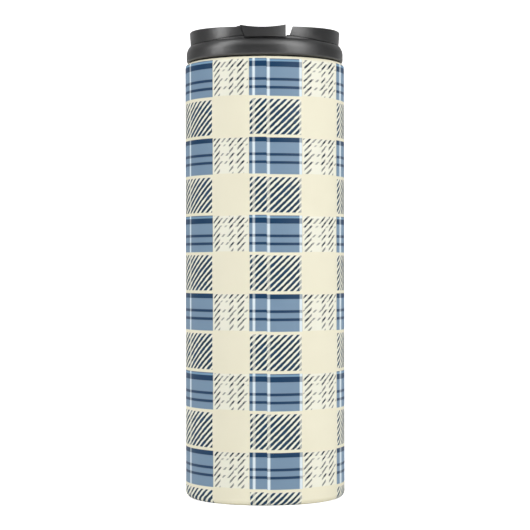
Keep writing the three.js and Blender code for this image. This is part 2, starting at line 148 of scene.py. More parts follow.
LEVER_HALF_WIDTH, LEVER_EDGE = 9.3 * MM, 0.5 * MM
BARREL_RADIUS = 2.4 * MM
PIN_RADIUS, PIN_HOLE_RADIUS = 1.2 * MM, 1.5 * MM
ROD_CHAMFER, ROD_STEPS = 0.3 * MM, 64
EAR_RADIUS, EAR_LENGTH, EAR_CAP = 2.8 * MM, 4.0 * MM, 0.9 * MM
ear_inner = LEVER_HALF_WIDTH + FIT
ear_outer = ear_inner + EAR_LENGTH
cover_underside = deck_top + 2.0 * MM
cover_top = cover_underside + 2.8 * MM
cover_radius = rim_inner - 0.5 * MM
PLATFORM_FRONT = 7.0 * MM
PLATFORM_WALL = 2.2 * MM
DISH_RADIUS, DISH_DEPTH, DISH_Y = 30.0 * MM, 0.8 * MM, -16.0 * MM

seal_low = deck_top + FIT
SEAL_FLANGE = 1.7 * MM
SEAL_PLUG_GAP = 0.5 * MM
SEAL_EDGE = 0.25 * MM

# ---------------------------------------------------------------- camera and light

EYE_HEIGHT = 105.62 * MM
EYE_DISTANCE = 801.9 * MM
EYE_ROLL = 0.09  # degrees
LENS, SENSOR = 118.9, 36  # millimetres
CLIP_DISTANCE = 20

WORLD_LIGHT = 0.16
EYE_LEVEL = (0, 0, EYE_HEIGHT)
# Each light's name, place, target, width and height, and watts.
SOFTBOXES = [
    ("left_softbox", (-0.85, -0.31, 0.65), EYE_LEVEL, (0.24, 1.2), 6.0),
    ("right_softbox", (0.67, -0.61, 0.65), EYE_LEVEL, (0.55, 1.2), 7.8),
    ("front_fill", (0, -1.3, 1.5), EYE_LEVEL, (1.6, 0.8), 3.0),
    ("backdrop_light", (0, 0.9, 2.0), (0, 1.9, 0.5), (3.0, 0.6), 8.0),
]

FLOOR_HALF_WIDTH, FLOOR_FRONT, FLOOR_BACK, FLOOR_RISE = 3.0, -2.0, 1.6, 2.4
FLOOR_BEND, FLOOR_BEND_STEPS = 0.8, 16


def aimed(obj, target):
    """Turns a light or camera so that it faces a point."""
    obj.rotation_euler = (Vector(target) - obj.location).to_track_quat("-Z", "Y").to_euler()


def camera():
    """A camera at mid height, straight in front of the flask."""
    data = bpy.data.cameras.new("eye")
    data.sensor_width = SENSOR
    data.lens = LENS
    data.clip_end = CLIP_DISTANCE
    eye = bpy.data.objects.new("eye", data)
    eye.location = (0, -EYE_DISTANCE, EYE_HEIGHT)
    scene.collection.objects.link(eye)
    aimed(eye, EYE_LEVEL)
    eye.rotation_euler.rotate_axis("Z", -math.radians(EYE_ROLL))
    scene.camera = eye


def softbox(name, place, target, size, power):
    """A soft rectangular light."""
    data = bpy.data.lights.new(name, "AREA")
    data.shape = "RECTANGLE"
    data.size, data.size_y = size
    data.energy = power
    light = bpy.data.objects.new(name, data)
    light.location = place
    scene.collection.objects.link(light)
    aimed(light, target)


def studio():
    """A faint even light from all round, and the softboxes."""
    world = bpy.data.worlds.new("pale_studio")
    world.use_nodes = True
    backdrop = world.node_tree.nodes["Background"]
    backdrop.inputs["Color"].default_value = (1, 1, 1, 1)
    backdrop.inputs["Strength"].default_value = WORLD_LIGHT
    scene.world = world
    for light in SOFTBOXES:
        softbox(*light)


def new_verts(made):
    """The vertices among what an operator has made."""
    return [item for item in made["geom"] if isinstance(item, bmesh.types.BMVert)]


def floor():
    """A pale sweep: flat under the flask and rising behind it."""
    bm = bmesh.new()
    section = (FLOOR_FRONT, 0), (FLOOR_BACK, 0), (FLOOR_BACK, FLOOR_RISE)
    corners = [bm.verts.new((-FLOOR_HALF_WIDTH, y, z)) for y, z in section]
    for pair in zip(corners, corners[1:]):
        bm.edges.new(pair)
    bmesh.ops.bevel(bm, geom=[corners[1]], offset=FLOOR_BEND, segments=FLOOR_BEND_STEPS, profile=0.5,
                    affect="VERTICES", material=-1)
    made = bmesh.ops.extrude_edge_only(bm, edges=bm.edges[:])
    bmesh.ops.translate(bm, verts=new_verts(made), vec=(2 * FLOOR_HALF_WIDTH, 0, 0))
    bmesh.ops.recalc_face_normals(bm, faces=bm.faces[:])
    sweep = finished("floor_sweep", bm, pale_floor())


# ---------------------------------------------------------------- material nodes

class Nodes:
    """Adds nodes to one tree. An input is a number, a colour, or another node's output."""

    def __init__(self, tree):
        self.tree = tree

    def add(self, kind, inputs=None, **settings):
        made = self.tree.nodes.new(kind)
        for name, value in settings.items():
            setattr(made, name, value)
        for key, value in (inputs or {}).items():
            self.feed(made.inputs[key], value)
        return made

    def feed(self, socket, value):
        if isinstance(value, bpy.types.NodeSocket):
            self.tree.links.new(value, socket)
        else:
            socket.default_value = value

    def math(self, operation, *values):
        made = self.add("ShaderNodeMath", operation=operation)
        for socket, value in zip(made.inputs, values):
            self.feed(socket, value)
        return made.outputs[0]

    def mix(self, factor, first, second):
        """First colour where the factor is 0, second where it is 1."""
        made = self.add("ShaderNodeMix", data_type="RGBA")
        for index, value in ((0, factor), (6, first), (7, second)):
            self.feed(made.inputs[index], value)
        return made.outputs[2]

    def cells(self, vector, scale, feature="F1"):
        inputs = {"Vector": vector, "Scale": scale}
        return self.add("ShaderNodeTexVoronoi", inputs, feature=feature).outputs["Distance"]

    def noise(self, vector, scale, detail=2.0, roughness=0.5):
        inputs = {"Vector": vector, "Scale": scale, "Detail": detail, "Roughness": roughness}
        return self.add("ShaderNodeTexNoise", inputs).outputs["Fac"]

    def remap(self, value, low, high, to_low=0.0, to_high=1.0, interpolation="LINEAR"):
        made = self.add("ShaderNodeMapRange", interpolation_type=interpolation)
        for socket, number in zip(made.inputs, (value, low, high, to_low, to_high)):
            self.feed(socket, number)
        return made.outputs[0]

    def place(self):
        return self.add("ShaderNodeTexCoord").outputs["Object"]

    def split(self, vector):
        return self.add("ShaderNodeSeparateXYZ", {0: vector}).outputs[:]

    def join(self, x, y, z):
        return self.add("ShaderNodeCombineXYZ", {0: x, 1: y, 2: z}).outputs[0]

    def use(self, group, **inputs):
        """Places a node group. An underscore in a label stands for a space."""
        made = self.add("ShaderNodeGroup", node_tree=group)
        for label, value in inputs.items():
            self.feed(made.inputs[label.replace("_", " ")], value)
        return made.outputs


NUMBER = "NodeSocketFloat"
VECTOR = ("Vector", "NodeSocketVector", None)


def node_group(name, inputs, outputs, fill):
    """A shared effect. Fill gets the nodes and the group's inputs and returns its outputs by name."""
    tree = bpy.data.node_groups.new(name, "ShaderNodeTree")
    for label, kind, default in inputs:
        socket = tree.interface.new_socket(label, in_out="INPUT", socket_type=kind)
        if default is not None:
            socket.default_value = default
    for label in outputs:
        tree.interface.new_socket(label, in_out="OUTPUT", socket_type=NUMBER)
    nodes = Nodes(tree)
    source = nodes.add("NodeGroupInput").outputs
    target = nodes.add("NodeGroupOutput")
    for label, socket in fill(nodes, source).items():
        tree.links.new(socket, target.inputs[label])
    return tree


def stripe_mask():
    """1 inside a stripe of a running measure, 0 outside it, with a soft edge."""
    def fill(nodes, source):
        away = nodes.math("ABSOLUTE", nodes.math("SUBTRACT", source["Measure"], source["Centre"]))
        outer = nodes.math("ADD", source["Half Width"], source["Softness"])
        inner = nodes.math("SUBTRACT", source["Half Width"], source["Softness"])
        return {"Mask": nodes.remap(away, outer, inner, interpolation="SMOOTHSTEP")}

    defaults = {"Measure": 0, "Centre": 0, "Half Width": 1, "Softness": 0.1}
    inputs = [(label, NUMBER, default) for label, default in defaults.items()]
    return node_group("stripe_mask", inputs, ["Mask"], fill)


def fine_grain():
    """The pebbled skin of a spark-eroded mould or a cured coat, and its slow unevenness."""
    def fill(nodes, source):
        cells = nodes.cells(source["Vector"], source["Fineness"], "SMOOTH_F1")
        speckle = nodes.noise(source["Vector"], source["Fineness"], 4.0, 0.6)
        height = nodes.math("MULTIPLY_ADD", cells, -0.5, speckle)
        coarse = nodes.math("DIVIDE", source["Fineness"], 60.0)
        return {"Height": height, "Drift": nodes.noise(source["Vector"], coarse, 2.0)}

    return node_group("fine_grain", [VECTOR, ("Fineness", NUMBER, 3000)], ["Height", "Drift"], fill)


# How slowly turning marks change round the axis, in metres for a radian, and how close the broad ones lie.
RING_DRIFT, STREAK_DRIFT = 0.0006, 0.004
STREAK_FINENESS = 900.0


def turning_marks():
    """Fine rings left by turning or brushing a round part about its axis."""
    def fill(nodes, source):
        x, y, z = nodes.split(source["Vector"])
        squares = nodes.math("ADD", nodes.math("POWER", x, 2.0), nodes.math("POWER", y, 2.0))
        radius = nodes.math("SQRT", squares)
        turn = nodes.math("ARCTAN2", x, y)
        along = nodes.math("MULTIPLY", turn, RING_DRIFT)
        rings = nodes.noise(nodes.join(radius, along, z), source["Fineness"], 3.0, 0.7)
        along = nodes.math("MULTIPLY", turn, STREAK_DRIFT)
        streaks = nodes.noise(nodes.join(radius, along, z), STREAK_FINENESS, 2.0)
        return {"Height": rings, "Streaks": streaks}

    return node_group("turning_marks", [VECTOR, ("Fineness", NUMBER, 6000)], ["Height", "Streaks"], fill)


# Rubs lean by their slant and are drawn out along Z by their squash.
SMEAR_FINENESS, RUB_FINENESS = 55.0, 2600.0
RUB_SLANT, RUB_SQUASH = 0.6, 0.05


def handling_marks():
    """Faint finger smears and hairline rubs."""
    def fill(nodes, source):
        smear = nodes.remap(nodes.noise(source["Vector"], SMEAR_FINENESS, 3.0, 0.6), 0.45, 0.75)
        x, y, z = nodes.split(source["Vector"])
        slanted = nodes.math("ADD", x, nodes.math("MULTIPLY", z, RUB_SLANT))
        drawn_out = nodes.join(slanted, y, nodes.math("MULTIPLY", z, RUB_SQUASH))
        rub = nodes.remap(nodes.noise(drawn_out, RUB_FINENESS, 1.0), 0.66, 0.78)
        return {"Smear": smear, "Rub": nodes.math("MULTIPLY", rub, smear)}

    return node_group("handling_marks", [VECTOR], ["Smear", "Rub"], fill)


# Shared effects.
STRIPE = stripe_mask()
GRAIN = fine_grain()
TURNING = turning_marks()
HANDLING = handling_marks()


def screen(red, green, blue):
    """A colour given as it looks on a screen, 0 to 255, in linear light."""
    shares = [value / 255 for value in (red, green, blue)]
    return (*[s / 12.92 if s <= 0.04045 else ((s + 0.055) / 1.055) ** 2.4 for s in shares], 1.0)


def new_material(name, **fixed):
    """A Principled material. Values that are the same all over are set on the shader's own sockets."""
    material = bpy.data.materials.new(name)
    material.use_nodes = True
    nodes = Nodes(material.node_tree)
    shader = material.node_tree.nodes["Principled BSDF"]
    for label, value in fixed.items():
        shader.inputs[label.replace("_", " ")].default_value = value
    return material, nodes, shader


def surfaced(nodes, shader, colour, roughness, height, depth, strength):
    """Feeds a finish's colour, roughness and relief to its shader."""
    nodes.feed(shader.inputs["Base Color"], colour)
    nodes.feed(shader.inputs["Roughness"], roughness)
    bump = nodes.add("ShaderNodeBump", {"Height": height, "Distance": depth, "Strength": strength})
    nodes.feed(shader.inputs["Normal"], bump.outputs["Normal"])


# ---------------------------------------------------------------- the printed coat

# The plaid repeats in columns round the body and in rows down it, measured in print millimetres from the seam
# and from the print's upper edge. A print millimetre is as long as a real one only down the body.
SEAM = 1.15  # degrees to the right of the front
SEAM_SLIP = 0.3  # how much higher the rows are at the wrap's end than at its start
PRINT_LENGTH = 215.1
PRINT_TOP = 196.35
COLUMN_PITCH = 34.6
ROW_PITCH = 34.5

# Where the column measure stands at each angle from the seam, in degrees and print millimetres.
COLUMN_STRETCH = [
    (0, 1.25), (25.7, 16.25), (60.6, 34.6), (65.5, 35.8), (70.5, 37.3), (91.8, 50.85), (272.7, 173.0),
    (289.7, 174.2), (292.9, 175.65), (319.5, 189.25), (347.8, 207.6), (360, 215.1),
]

# The rows hang lower than an even spacing would put them, by a slow wave about a straight line.
LAG_START, LAG_SLOPE = 0.385, -0.0012
LAG_WAVE, LAG_CREST, LAG_PITCH = 0.28, 178.0, 138.0

# Limits of the stripes and areas across a column.
COLUMN_EDGE, STRIPE_EDGE, DASH_EDGE, LINE_EDGE = 0.14, 0.3, 0.4, 0.2  # softness of their edges
BLUE_COLUMN = (0.0, 16.25)
WHITE_STRIPE = (1.45, 2.6)
SEAM_WHITE = (15.0, 16.25)  # in the first column only
HATCH_COLUMN = (0.3, 15.9)
DASH_COLUMN = (16.6, 34.2)
DARKER_DASHES = ((17.25, 20.3), (25.2, 27.2), (29.2, 32.2))

# Limits down a row. The lines of every second row stand higher by LINE_SHIFT.
BLUE_ROW = (0.0, 16.25)
HATCH_ROW = (17.6, 33.2)
DASH_ROW = (0.3, 16.0)
LINE_SHIFT = 1.5
HAIRLINE = (0.0, 0.32)
PALE_LINE = (0.35, 1.25)
BAND = (1.25, 3.6)
DASH_LINE = (4.6, 5.2)
THIN_LINES = ((8.42, 9.62), (11.95, 13.15))

# The hatching's strokes: their pitch across and down, and the share of it that a stroke fills.
HATCH_ACROSS = 2.71
HATCH_DOWN = 2.79
STROKE_THIN, STROKE_THICK, STROKE_SOFTNESS = 0.23, 0.35, 0.07
STROKE_TAPER = (16.5, 21.0, 0.65, 1.0)  # from row, to row, from share, to share
SWELL_FINENESS = 420.0
# Where the hatching packs extra strokes in: from and to share of a turn, and how many.
EXTRA_STROKES = ((0.168, 0.196, 1.0), (0.7575, 0.805, 2.0))

# How strong the dashes are, and how much paler than cream the ground of hatching and dashes is.
DASH_STRENGTH, DASH_LINE_STRENGTH = 0.75, 0.6
GROUND_SHARE = 0.6

CREAM = screen(244, 239, 216)
CREAM_SHADE = screen(239, 234, 209)
PALE_GROUND = screen(245, 246, 235)
SLATE = screen(124, 151, 176)
PALE_STRIP = screen(122, 160, 190)
NAVY = screen(14, 58, 94)
THIN_NAVY = screen(25, 60, 95)
STRIPE_WHITE = screen(228, 240, 246)
HATCH_NAVY = screen(24, 66, 98)
HATCH_DARK = screen(14, 42, 56)
DASH_DARK = screen(30, 45, 58)


def column_share(nodes, from_seam):
    """How far round the print a point is, 0 to 1, with the columns as wide as they are laid on."""
    curve = nodes.add("ShaderNodeFloatCurve", {"Value": from_seam})
    line = curve.mapping.curves[0]
    line.points[0].location = (0.0, COLUMN_STRETCH[0][1] / PRINT_LENGTH)
    line.points[1].location = (1.0, 1.0)
    for degrees, measure in COLUMN_STRETCH[1:-1]:
        line.points.new(degrees / 360.0, measure / PRINT_LENGTH)
    for point in line.points:
        point.handle_type = "VECTOR"
    curve.mapping.update()
    return curve.outputs[0]


def row_measure(nodes, height, share):
    """How far down the print a point is."""
    from_crest = nodes.math("SUBTRACT", height, LAG_CREST)
    wave = nodes.math("COSINE", nodes.math("MULTIPLY", from_crest, FULL_TURN / LAG_PITCH))
    line = nodes.math("MULTIPLY_ADD", height, LAG_SLOPE, LAG_START)
    lag = nodes.math("MULTIPLY_ADD", wave, LAG_WAVE, line)
    down = nodes.math("SUBTRACT", nodes.math("SUBTRACT", PRINT_TOP, height), lag)
    return nodes.math("MULTIPLY_ADD", share, SEAM_SLIP, down)


def stroke_phase(nodes, from_seam, across, height):
    """Counts the hatching's strokes, which run up to the right."""
    extra = [nodes.remap(from_seam, low, high, 0.0, count) for low, high, count in EXTRA_STROKES]
    sideways = nodes.math("DIVIDE", across, HATCH_ACROSS)
    slant = nodes.math("SUBTRACT", sideways, nodes.math("DIVIDE", height, HATCH_DOWN))
    return nodes.math("FRACT", nodes.math("ADD", slant, nodes.math("ADD", *extra)))


def printed_coat():
    """Cream enamel with a blue plaid: blocks, bands, white stripes and slanted hatching."""
    material, nodes, shader = new_material("printed_coat", IOR=1.46, Specular_IOR_Level=0.3)
    place = nodes.place()
    x, y, z = nodes.split(place)
    height = nodes.math("DIVIDE", z, MM)
    turn = nodes.math("DIVIDE", nodes.math("ARCTAN2", x, nodes.math("MULTIPLY", y, -1.0)), FULL_TURN)
    from_seam = nodes.math("FRACT", nodes.math("ADD", turn, 1.0 - SEAM / 360.0))
    share = column_share(nodes, from_seam)
    across = nodes.math("MULTIPLY", share, PRINT_LENGTH)
    column = nodes.math("WRAP", across, COLUMN_PITCH, 0.0)
    down = row_measure(nodes, height, share)
    row = nodes.math("WRAP", down, ROW_PITCH, 0.0)
    odd = nodes.math("WRAP", nodes.math("FLOOR", nodes.math("DIVIDE", down, ROW_PITCH)), 2.0, 0.0)
    line_place = nodes.math("MULTIPLY_ADD", odd, LINE_SHIFT, row)

    def stripe(measure, limits, softness=COLUMN_EDGE):
        low, high = limits
        return nodes.use(STRIPE, Measure=measure, Centre=(low + high) / 2, Half_Width=(high - low) / 2,
                         Softness=softness)["Mask"]

    def both(first, second):
        return nodes.math("MULTIPLY", first, second)

    def either(first, *others):
        for other in others:
            first = nodes.math("MAXIMUM", first, other)
        return first

    def faded(mask, other, share):
        """The mask, weaker by a share where the other mask is."""
        return both(mask, nodes.math("MULTIPLY_ADD", other, -share, 1.0))

    band = stripe(line_place, BAND)
    thin = either(*[stripe(line_place, limits, LINE_EDGE) for limits in THIN_LINES])
    white = either(stripe(column, WHITE_STRIPE, STRIPE_EDGE), stripe(across, SEAM_WHITE, STRIPE_EDGE))

    ground = nodes.mix(nodes.noise(place, 40.0, 2.0), CREAM, CREAM_SHADE)
    blue = nodes.mix(stripe(line_place, PALE_LINE), SLATE, PALE_STRIP)
    blue = nodes.mix(both(stripe(line_place, HAIRLINE, 0.12), 0.75), blue, NAVY)
    blue = nodes.mix(white, blue, STRIPE_WHITE)
    blue = nodes.mix(faded(thin, white, 0.55), blue, THIN_NAVY)
    blue = nodes.mix(faded(band, white, 0.5), blue, NAVY)
    colour = nodes.mix(both(stripe(column, BLUE_COLUMN), stripe(row, BLUE_ROW)), ground, blue)

    swell = nodes.remap(nodes.noise(place, SWELL_FINENESS, 1.0), 0.3, 0.7)
    fill = nodes.remap(swell, 0.0, 1.0, STROKE_THIN, STROKE_THICK)
    phase = stroke_phase(nodes, from_seam, across, height)
    stroke = nodes.use(STRIPE, Measure=phase, Centre=0.5, Softness=STROKE_SOFTNESS,
                       Half_Width=both(fill, nodes.remap(row, *STROKE_TAPER)))["Mask"]

    hatch_area = both(stripe(column, HATCH_COLUMN), stripe(row, HATCH_ROW))
    colour = nodes.mix(both(hatch_area, GROUND_SHARE), colour, PALE_GROUND)
    ink = nodes.mix(swell, HATCH_DARK, HATCH_NAVY)
    colour = nodes.mix(faded(both(hatch_area, stroke), white, 0.5), colour, ink)

    dark_columns = either(*[stripe(column, limits, DASH_EDGE) for limits in DARKER_DASHES])
    dark_rows = either(band, thin, stripe(line_place, DASH_LINE, 0.5))
    strength = nodes.math("MULTIPLY_ADD", dark_columns, DASH_STRENGTH, both(dark_rows, DASH_LINE_STRENGTH))
    dash_area = both(stripe(column, DASH_COLUMN), stripe(row, DASH_ROW))
    colour = nodes.mix(both(dash_area, GROUND_SHARE), colour, PALE_GROUND)
    colour = nodes.mix(both(both(dash_area, stroke), strength), colour, DASH_DARK)

    grain = nodes.use(GRAIN, Vector=place, Fineness=1500.0)
    roughness = nodes.remap(grain["Drift"], 0.2, 0.8, 0.4, 0.5)
    surfaced(nodes, shader, colour, roughness, grain["Height"], 0.012 * MM, 0.5)
    return material


# ---------------------------------------------------------------- the other finishes

def black_moulding(name, fineness, depth, sheen_low, sheen_high):
    """Black polypropylene with the mould's grain."""
    material, nodes, shader = new_material(name, IOR=1.6, Specular_IOR_Level=0.9)
    place = nodes.place()
    grain = nodes.use(GRAIN, Vector=place, Fineness=fineness)
    marks = nodes.use(HANDLING, Vector=place)
    plain = nodes.mix(grain["Drift"], screen(20, 21, 22), screen(27, 27, 28))
    colour = nodes.mix(nodes.math("MULTIPLY", marks["Rub"], 0.3), plain, screen(80, 80, 80))
    roughness = nodes.remap(grain["Drift"], 0.25, 0.75, sheen_low, sheen_high)
    roughness = nodes.math("MULTIPLY_ADD", marks["Smear"], -0.05, roughness)
    surfaced(nodes, shader, colour, roughness, grain["Height"], depth, 0.8)
    return material


def turned_steel(name, light, dark, fineness, rough_low, rough_high):
    """Stainless steel with the rings of its last turning."""
    material, nodes, shader = new_material(name, Metallic=1.0)
    place = nodes.place()
    marks = nodes.use(TURNING, Vector=place, Fineness=fineness)
    smears = nodes.use(HANDLING, Vector=place)
    roughness = nodes.remap(marks["Height"], 0.3, 0.7, rough_low, rough_high)
    roughness = nodes.math("MULTIPLY_ADD", smears["Smear"], 0.07, roughness)
    colour = nodes.mix(marks["Streaks"], dark, light)
    surfaced(nodes, shader, colour, roughness, marks["Height"], 0.01 * MM, 0.5)
    return material


def soft_silicone():
    """Grey silicone with a little dust on it."""
    material, nodes, shader = new_material("soft_silicone", IOR=1.41, Sheen_Weight=0.15, Sheen_Roughness=0.6)
    place = nodes.place()
    grain = nodes.use(GRAIN, Vector=place, Fineness=2200.0)
    dust = nodes.remap(nodes.noise(place, 2400.0, 1.0), 0.68, 0.8)
    plain = nodes.mix(grain["Drift"], screen(62, 64, 68), screen(74, 76, 80))
    colour = nodes.mix(nodes.math("MULTIPLY", dust, 0.4), plain, screen(150, 150, 148))
    roughness = nodes.remap(grain["Drift"], 0.2, 0.8, 0.6, 0.72)
    surfaced(nodes, shader, colour, roughness, grain["Height"], 0.01 * MM, 0.6)
    return material


def crinkled_foil():
    """Thin copper foil, wrapped by hand round the liner."""
    material, nodes, shader = new_material("crinkled_foil", Metallic=1.0)
    place = nodes.place()
    folds = nodes.math("ADD", nodes.cells(place, 170.0), nodes.noise(place, 320.0, 3.0))
    tarnish = nodes.remap(nodes.noise(place, 60.0, 4.0), 0.4, 0.7)
    colour = nodes.mix(tarnish, screen(222, 150, 108), screen(182, 112, 78))
    surfaced(nodes, shader, colour, nodes.remap(tarnish, 0.0, 1.0, 0.18, 0.36), folds, 0.4 * MM, 0.8)
    return material


def sintered_getter():
    """Pressed metal powder."""
    material, nodes, shader = new_material("sintered_getter", Metallic=0.7)
    grains = nodes.cells(nodes.place(), 2600.0)
    colour = nodes.mix(grains, screen(92, 94, 98), screen(132, 132, 134))
    surfaced(nodes, shader, colour, nodes.remap(grains, 0.0, 0.8, 0.62, 0.82), grains, 0.12 * MM, 0.9)
    return material


def fused_glass():
    """The bead of solder glass that closes the evacuation hole."""
    material, nodes, shader = new_material("fused_glass", IOR=1.55, Coat_Weight=0.4)
    swirl = nodes.noise(nodes.place(), 480.0, 4.0, 0.65)
    colour = nodes.mix(swirl, screen(96, 104, 108), screen(158, 162, 160))
    surfaced(nodes, shader, colour, nodes.remap(swirl, 0.3, 0.7, 0.12, 0.28), swirl, 0.1 * MM, 0.6)
    return material


def closed_cell_foam():
    """Cream foam, lower inside its cells and darker there with painted shade."""
    material, nodes, shader = new_material("closed_cell_foam")
    cell_hollow_and_shade = nodes.remap(nodes.cells(nodes.place(), 900.0, "DISTANCE_TO_EDGE"), 0.0, 0.18)
    # Darker inside the cells: painted shade in their hollows.
    colour = nodes.mix(cell_hollow_and_shade, screen(240, 238, 228), screen(214, 210, 198))
    relief = nodes.math("MULTIPLY", cell_hollow_and_shade, -1.0)
    surfaced(nodes, shader, colour, nodes.remap(cell_hollow_and_shade, 0.0, 1.0, 0.8, 0.95), relief, 0.2 * MM, 0.8)
    return material


def pale_floor():
    """White paper that glows a little where it is looked at, so that it stays plain."""
    material, nodes, shader = new_material("pale_floor", Roughness=0.9, Emission_Color=(1.0, 1.0, 1.0, 1.0))
    seen = nodes.add("ShaderNodeLightPath").outputs["Is Camera Ray"]
    nodes.feed(shader.inputs["Emission Strength"], nodes.math("MULTIPLY", seen, 0.8))
    tone = nodes.noise(nodes.place(), 3.0, 2.0)
    nodes.feed(shader.inputs["Base Color"], nodes.mix(tone, (0.93, 0.93, 0.93, 1), (0.95, 0.95, 0.95, 1)))
    return material


# ---------------------------------------------------------------- modelling helpers

SHARP = math.radians(34)  # an edge that turns by more than this stays sharp


def plain_object(name, bm):
    """A mesh object without a finish, to be joined to a piece or cut from it."""
    mesh = bpy.data.meshes.new(name)
    bm.to_mesh(mesh)
    bm.free()
    obj = bpy.data.objects.new(name, mesh)
    scene.collection.objects.link(obj)
    return obj


def tool(bm):
    """A cutter, or a part that is joined on. It is gone once it has been used."""
    return plain_object("tool", bm)


def shaded(obj):
    """Smooth except at the sharp edges."""
    mesh = obj.data
    mesh.polygons.foreach_set("use_smooth", [True] * len(mesh.polygons))
    mesh.set_sharp_from_angle(angle=SHARP)
    mesh.update()


def finished(name, bm, material, steps=()):
    """A piece from a bmesh and, where there are steps, the tools that are joined to it or cut from it."""
    piece = plain_object(name, bm)
    piece.data.materials.append(material)
    shaded(piece)
    if steps:
        worked(piece, steps)
        shaded(piece)
    return piece


def settled(obj):
    """Applies the modifiers of an object to its mesh."""
    bpy.context.view_layer.update()
    view = obj.evaluated_get(bpy.context.evaluated_depsgraph_get())
    mesh = bpy.data.meshes.new_from_object(view)
    old = obj.data
    obj.modifiers.clear()
    obj.data = mesh
    mesh.name = obj.name
    bpy.data.meshes.remove(old)


def worked(target, steps):
    """Joins tools to the target or cuts them from it, in order. Each step is (operation, tool)."""
    for operation, other in steps:
        change = target.modifiers.new("work", "BOOLEAN")
        change.operation = operation
        change.solver = "EXACT"
        change.object = other
    settled(target)
    for _, other in steps:
        bpy.data.objects.remove(other)
    return target


def rounded_chain(bm, corners, closed):
    """Edges in the XZ plane through corners (radius, height, rounding), with each corner rounded."""
    verts = [bm.verts.new((r, 0, z)) for r, z, _ in corners]
    pairs = list(zip(verts, verts[1:]))
    if closed:
        pairs.append((verts[-1], verts[0]))
    for pair in pairs:
        bm.edges.new(pair)
    for vert, (_, _, rounding) in zip(verts, corners):
        if rounding:
            segments = max(2, min(10, round(rounding / ARC_STEP) + 1))
            bmesh.ops.bevel(bm, geom=[vert], offset=rounding, segments=segments, profile=0.5,
                            affect="VERTICES", material=-1, clamp_overlap=True)


def turned(corners, steps=BODY_STEPS):
    """A bmesh of a part turned on a lathe, from the corners of its half section."""
    closed = corners[0][0] > 0 or corners[-1][0] > 0
    bm = bmesh.new()
    rounded_chain(bm, corners, closed)
    bmesh.ops.spin(bm, geom=bm.verts[:] + bm.edges[:], cent=ORIGIN, axis=UPRIGHT, angle=FULL_TURN,
                   steps=steps, use_merge=True)
    bmesh.ops.remove_doubles(bm, verts=bm.verts[:], dist=0.001 * MM)
    bmesh.ops.dissolve_degenerate(bm, dist=0.0005 * MM, edges=bm.edges[:])
    bmesh.ops.recalc_face_normals(bm, faces=bm.faces[:])
    return bm


def drum(radius, low, high, low_edge=0.0, high_edge=0.0, steps=LID_STEPS):
    """A solid round about the Z axis, with the roundings of its two edges."""
    return turned([(0, low, 0), (radius, low, low_edge), (radius, high, high_edge), (0, high, 0)], steps)


def tipped(bm, axis, shift, angle=QUARTER_TURN):
    """Turns a mesh about an axis through the origin, then moves it."""
    bmesh.ops.rotate(bm, verts=bm.verts[:], cent=ORIGIN, matrix=Matrix.Rotation(angle, 3, axis))
    bmesh.ops.translate(bm, verts=bm.verts[:], vec=shift)
    return bm


def bevelled(bm, edges, width):
    bmesh.ops.bevel(bm, geom=edges, offset=width, segments=3, profile=0.5, affect="EDGES", material=-1)
    return bm


def capped(bm):
    """Closes the open rims of a mesh and turns its faces outwards."""
    rims = [edge for edge in bm.edges if edge.is_boundary]
    bmesh.ops.holes_fill(bm, edges=rims, sides=0)
    bmesh.ops.recalc_face_normals(bm, faces=bm.faces[:])
    return bm


def swept(bm, angle, steps, rise=0.0):
    """Spins an open section about the Z axis, rising in all by so much, and closes its two ends."""
    bmesh.ops.spin(bm, geom=bm.verts[:] + bm.edges[:], cent=ORIGIN, axis=UPRIGHT, angle=angle,
                   dvec=(0, 0, rise / steps), steps=steps)
    return capped(bm)


def thread_ridge(radius, start, turns):
    """A round ridge that climbs one lead in each turn."""
    bm = bmesh.new()
    bmesh.ops.create_circle(bm, segments=THREAD_SIDES, radius=THREAD_RIDGE_RADIUS)
    tipped(bm, "X", (radius, 0, start))
    return swept(bm, turns * FULL_TURN, round(turns * THREAD_STEPS), THREAD_LEAD * turns)


def box_bm(low, high, rounding=0.0):
    bm = bmesh.new()
    bmesh.ops.create_cube(bm, size=1.0)
    low, high = Vector(low), Vector(high)
    bmesh.ops.scale(bm, vec=high - low, verts=bm.verts[:])
    bmesh.ops.translate(bm, vec=(low + high) / 2, verts=bm.verts[:])
    return bevelled(bm, bm.edges[:], rounding) if rounding else bm


def rod_bm(radius, from_x, to_x, chamfer=0.0):
    """A rod along X at the hinge's height."""
    return tipped(drum(radius, from_x, to_x, chamfer, chamfer, ROD_STEPS), "Y", (0, hinge.y, hinge.z))


def slot_bm(half_length, half_width, y, low, high, rounding, sides):
    """An upright plug with round ends, its long side along X."""
    bm = bmesh.new()
    bmesh.ops.create_circle(bm, cap_ends=True, segments=sides, radius=half_width)
    half_side = Matrix.Rotation(math.pi / sides, 3, "Z")
    bmesh.ops.rotate(bm, verts=bm.verts[:], cent=ORIGIN, matrix=half_side)
    for side in (1, -1):
        end = [vert for vert in bm.verts if vert.co.x * side > 0]
        bmesh.ops.translate(bm, verts=end, vec=(side * (half_length - half_width), 0, 0))
    bmesh.ops.translate(bm, verts=bm.verts[:], vec=(0, y, low))
    made = bmesh.ops.extrude_face_region(bm, geom=bm.faces[:], use_keep_orig=True)
    bmesh.ops.translate(bm, verts=new_verts(made), vec=(0, 0, high - low))
    bmesh.ops.recalc_face_normals(bm, faces=bm.faces[:])
    flat = [edge for edge in bm.edges if abs(edge.verts[0].co.z - edge.verts[1].co.z) < TOUCH]
    return bevelled(bm, flat, rounding) if rounding else bm


def trimmed(bm, point, outward):
    """Cuts off what lies outside a plane and closes the cut."""
    bmesh.ops.bisect_plane(bm, geom=bm.verts[:] + bm.edges[:] + bm.faces[:], plane_co=point, plane_no=outward,
                           clear_outer=True)
    return capped(bm)


def slot_left(z):
    """Where the slot's left side is at a height."""
    return -SLOT_LEFT - SLOT_LEFT_SLOPE * (z - deck_top)


